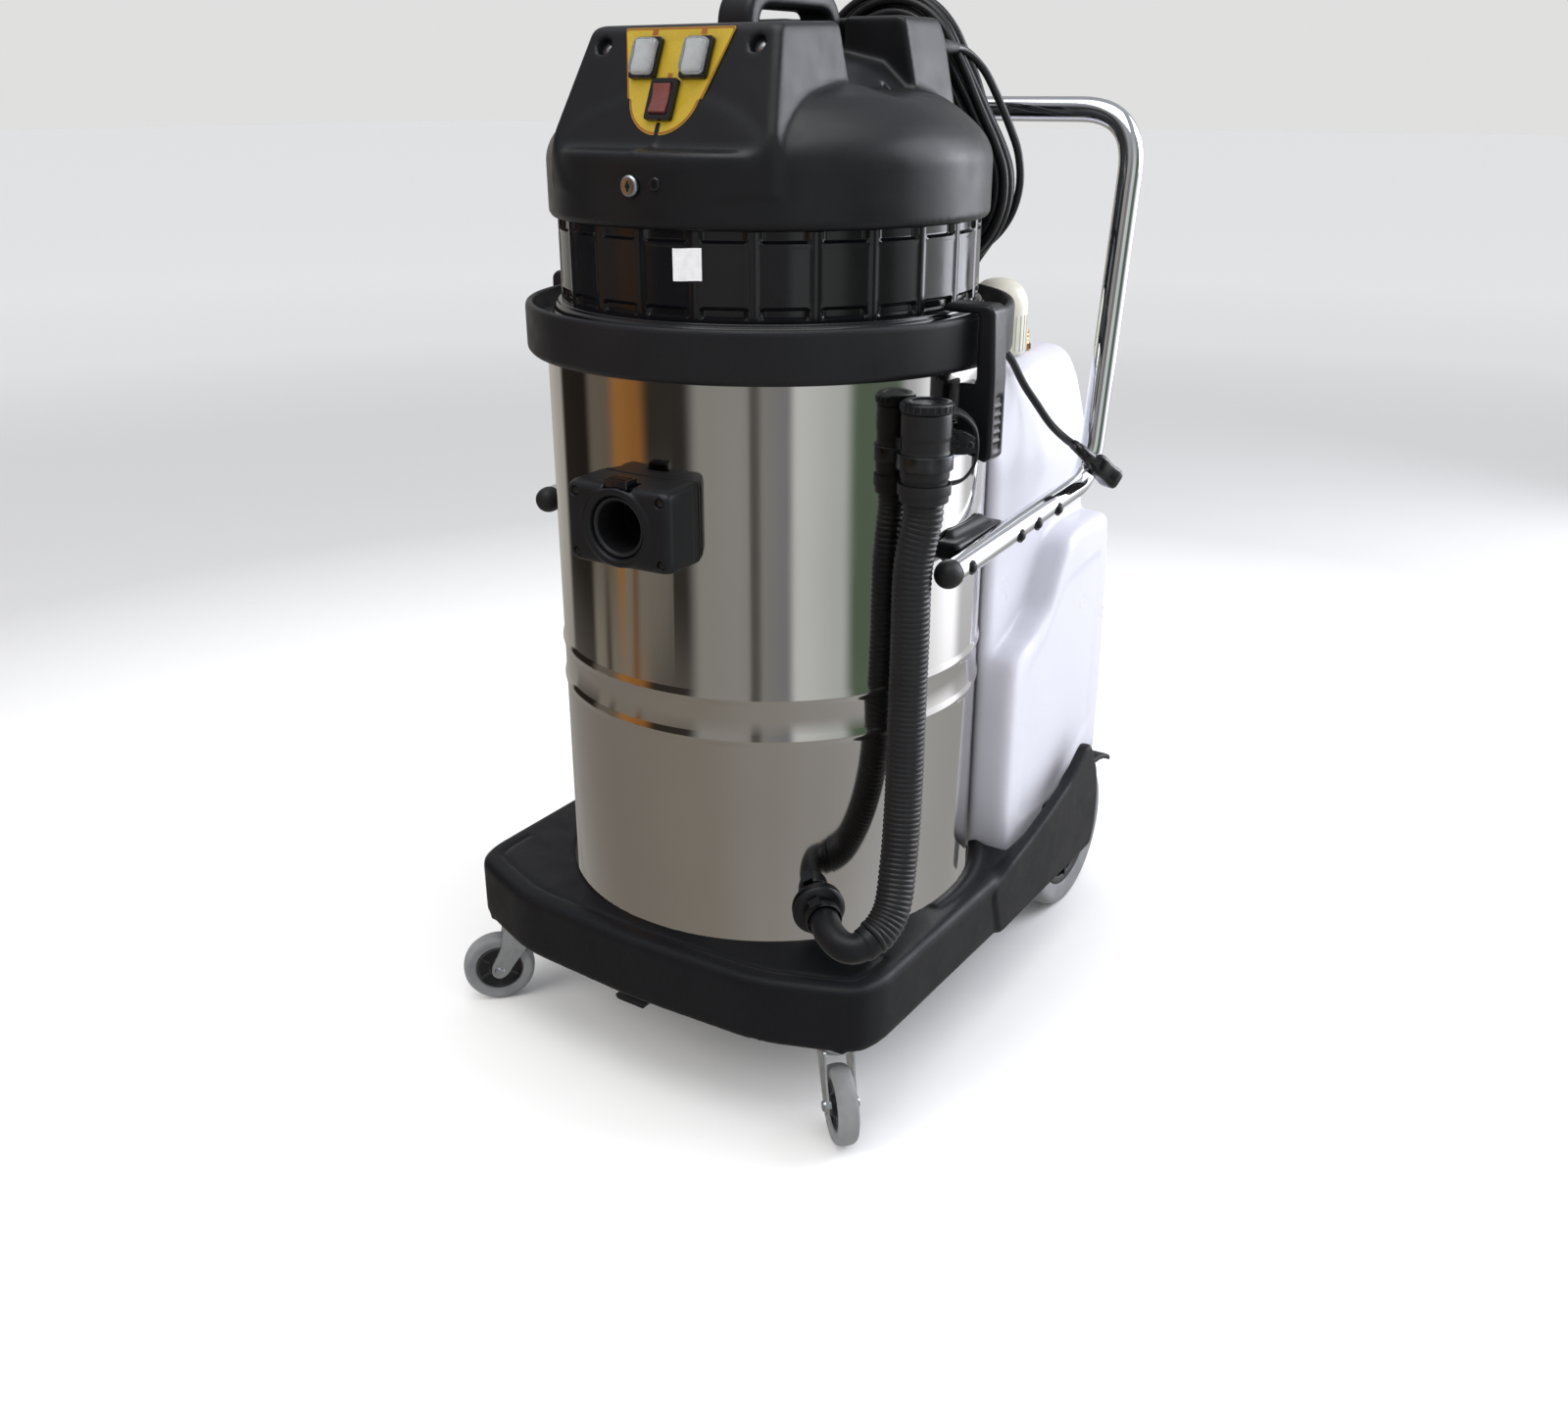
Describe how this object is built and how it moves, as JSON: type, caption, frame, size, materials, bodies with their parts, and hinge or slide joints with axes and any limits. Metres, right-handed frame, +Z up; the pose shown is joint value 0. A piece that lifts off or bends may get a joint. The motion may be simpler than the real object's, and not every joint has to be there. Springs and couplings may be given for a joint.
{
  "type": "carpet cleaner machine",
  "caption": "Wet extraction carpet cleaner: polished steel drum with lift-off motor head, solution tank, drain hose and push handle on a wheeled base.",
  "frame": {"origin": "middle of the footprint, without the mains cord and drain hose, on the floor", "axes": "+Z up, -Y the front with the hose inlet, +X the side with the drain hose"},
  "size_m": [0.5545, 0.7033, 1.0591],
  "materials": {
    "base": "textured moulded polyethylene, dark charcoal",
    "moulded": "satin black moulded plastic",
    "gloss": "glossy black moulded plastic",
    "steel": "mirror polished stainless steel",
    "chrome": "bright chrome plate",
    "zinc": "zinc plated pressed steel",
    "brass": "plain brass",
    "rubber": "black rubber",
    "hose_rubber": "black ribbed rubber hose",
    "cord": "black round cable sheath",
    "tread": "grey non-marking thermoplastic rubber",
    "tank": "natural white translucent polyethylene",
    "cap_cream": "cream polyethylene",
    "panel": "yellow printed panel, satin",
    "boot": "clear switch boot over a white rocker",
    "rocker_red": "dark red rocker",
    "motor": "grey motor and pump housings",
    "float": "white float ball"
  },
  "bodies": {
    "chassis": {"base_tray": "base", "drum": "steel", "rim_ring": "moulded", "inlet_housing": "moulded", "inlet_seal": "rubber", "drain_elbow": "moulded", "hose_clamp": "chrome", "drain_hose": "hose_rubber", "hose_cuff": "rubber", "cap_strap": "rubber", "hose_hook": "zinc", "tube_handle": "chrome", "end_cap_left": "rubber", "end_cap_right": "rubber", "handle_bracket_left": "moulded", "handle_bracket_right": "moulded", "solution_tank": "tank", "brass_fitting": "brass", "pump": "motor", "rear_axle": "zinc", "latch_bracket_left": "zinc", "latch_bracket_right": "zinc"},
    "head": {"head_gasket": "rubber", "head_flange": "gloss", "vent_ring": "gloss", "head_cover": "moulded", "carry_handle": "moulded", "control_panel": "panel", "switch_bezel_left": "moulded", "switch_bezel_right": "moulded", "switch_bezel_pump": "moulded", "head_lock": "zinc", "motor_left": "motor", "motor_right": "motor", "float_cage": "moulded", "cord_gland": "rubber", "cord_hank": "cord", "cord_tail": "cord", "plug": "gloss"},
    "float": {"float_ball": "float"},
    "filler_cap": {"filler_cap": "cap_cream"},
    "drain_cap": {"drain_cap": "moulded"},
    "inlet_button": {"inlet_button": "gloss"},
    "latch_left": {"latch_left": "moulded"},
    "latch_right": {"latch_right": "moulded"},
    "rocker_left": {"rocker_left": "boot"},
    "rocker_right": {"rocker_right": "boot"},
    "rocker_pump": {"rocker_pump": "rocker_red"},
    "caster_left": {"caster_fork_left": "zinc"},
    "caster_wheel_left": {"caster_tyre_left": "tread", "caster_hub_left": "moulded"},
    "rear_wheel_left": {"rear_tyre_left": "tread", "rear_hub_left": "moulded", "axle_cap_left": "moulded"},
    "caster_right": {"caster_fork_right": "zinc"},
    "caster_wheel_right": {"caster_tyre_right": "tread", "caster_hub_right": "moulded"},
    "rear_wheel_right": {"rear_tyre_right": "tread", "rear_hub_right": "moulded", "axle_cap_right": "moulded"}
  },
  "joints": [
    {"name": "head_lift", "type": "slide", "parent": "chassis", "child": "head", "axis": [0, 0, 1], "range_m": [0, 0.3]},
    {"name": "latch_right_swing", "type": "hinge", "parent": "chassis", "child": "latch_right", "pos_m": [0.244, -0.1004, 0.662], "axis": [0, 1, 0], "range_deg": [0, 85]},
    {"name": "latch_left_swing", "type": "hinge", "parent": "chassis", "child": "latch_left", "pos_m": [-0.244, -0.1004, 0.662], "axis": [0, -1, 0], "range_deg": [0, 85]},
    {"name": "filler_cap_pull", "type": "slide", "parent": "chassis", "child": "filler_cap", "axis": [0, 0, 1], "range_m": [0, 0.02]},
    {"name": "drain_cap_pull", "type": "slide", "parent": "chassis", "child": "drain_cap", "axis": [0, 0, 1], "range_m": [0, 0.014]},
    {"name": "inlet_button_press", "type": "slide", "parent": "chassis", "child": "inlet_button", "axis": [0, 0, -1], "range_m": [0, 0.0025], "stiffness_N_per_m": 400, "springref_m": -0.001},
    {"name": "float_rise", "type": "slide", "parent": "head", "child": "float", "axis": [0, 0, 1], "range_m": [0, 0.066]},
    {"name": "rocker_left_tilt", "type": "hinge", "parent": "head", "child": "rocker_left", "pos_m": [-0.027, -0.2324, 0.98596], "axis": [1, 0, 0], "range_deg": [0, 7]},
    {"name": "rocker_right_tilt", "type": "hinge", "parent": "head", "child": "rocker_right", "pos_m": [0.027, -0.2324, 0.98596], "axis": [1, 0, 0], "range_deg": [0, 7]},
    {"name": "rocker_pump_tilt", "type": "hinge", "parent": "head", "child": "rocker_pump", "pos_m": [0, -0.24722, 0.95315], "axis": [1, 0, 0], "range_deg": [0, 7]},
    {"name": "caster_left_swivel", "type": "hinge", "parent": "chassis", "child": "caster_left", "pos_m": [-0.208, -0.2834, 0.1], "axis": [0, 0, 1], "continuous": true},
    {"name": "caster_left_roll", "type": "hinge", "parent": "caster_left", "child": "caster_wheel_left", "pos_m": [-0.2278, -0.3032, 0.04], "axis": [0.7071, -0.7071, 0], "continuous": true},
    {"name": "rear_left_roll", "type": "hinge", "parent": "chassis", "child": "rear_wheel_left", "pos_m": [-0.208, 0.2566, 0.095], "axis": [1, 0, 0], "continuous": true},
    {"name": "caster_right_swivel", "type": "hinge", "parent": "chassis", "child": "caster_right", "pos_m": [0.208, -0.2834, 0.1], "axis": [0, 0, 1], "continuous": true},
    {"name": "caster_right_roll", "type": "hinge", "parent": "caster_right", "child": "caster_wheel_right", "pos_m": [0.2278, -0.3032, 0.04], "axis": [0.7071, 0.7071, 0], "continuous": true},
    {"name": "rear_right_roll", "type": "hinge", "parent": "chassis", "child": "rear_wheel_right", "pos_m": [0.208, 0.2566, 0.095], "axis": [1, 0, 0], "continuous": true}
  ]
}
